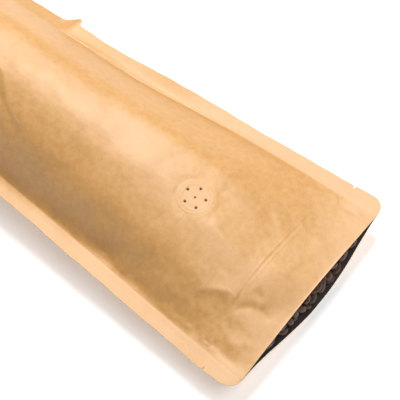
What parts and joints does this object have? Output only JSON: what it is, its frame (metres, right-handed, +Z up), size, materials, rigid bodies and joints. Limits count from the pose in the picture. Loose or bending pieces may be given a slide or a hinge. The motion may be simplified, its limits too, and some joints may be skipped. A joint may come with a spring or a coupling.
{
  "type": "stand-up pouch",
  "caption": "Kraft stand-up pouch lying on its back, open at the mouth and full of roasted coffee beans, with side seals, zip, tear notches, valve and bottom gusset.",
  "frame": {"origin": "middle of the ground under the pouch, at the centre of its outline", "axes": "+Z up from the ground through the front panel, +Y along the pouch from its open mouth to its bottom gusset, +X across it to the side where the mouth gapes most"},
  "size_m": [0.1536, 0.28, 0.0788],
  "materials": {
    "kraft": "matt natural kraft paper outside, laminated to a barrier film inside",
    "zip_plastic": "translucent white polyethylene",
    "valve_plastic": "off-white polyethylene",
    "roasted_beans": "dark roasted coffee beans with a slight sheen"
  },
  "bodies": {
    "root": {"pouch": "kraft", "zip_strip_front": "zip_plastic", "zip_strip_back": "zip_plastic", "degassing_valve": "valve_plastic", "beans": "roasted_beans"}
  },
  "joints": []
}
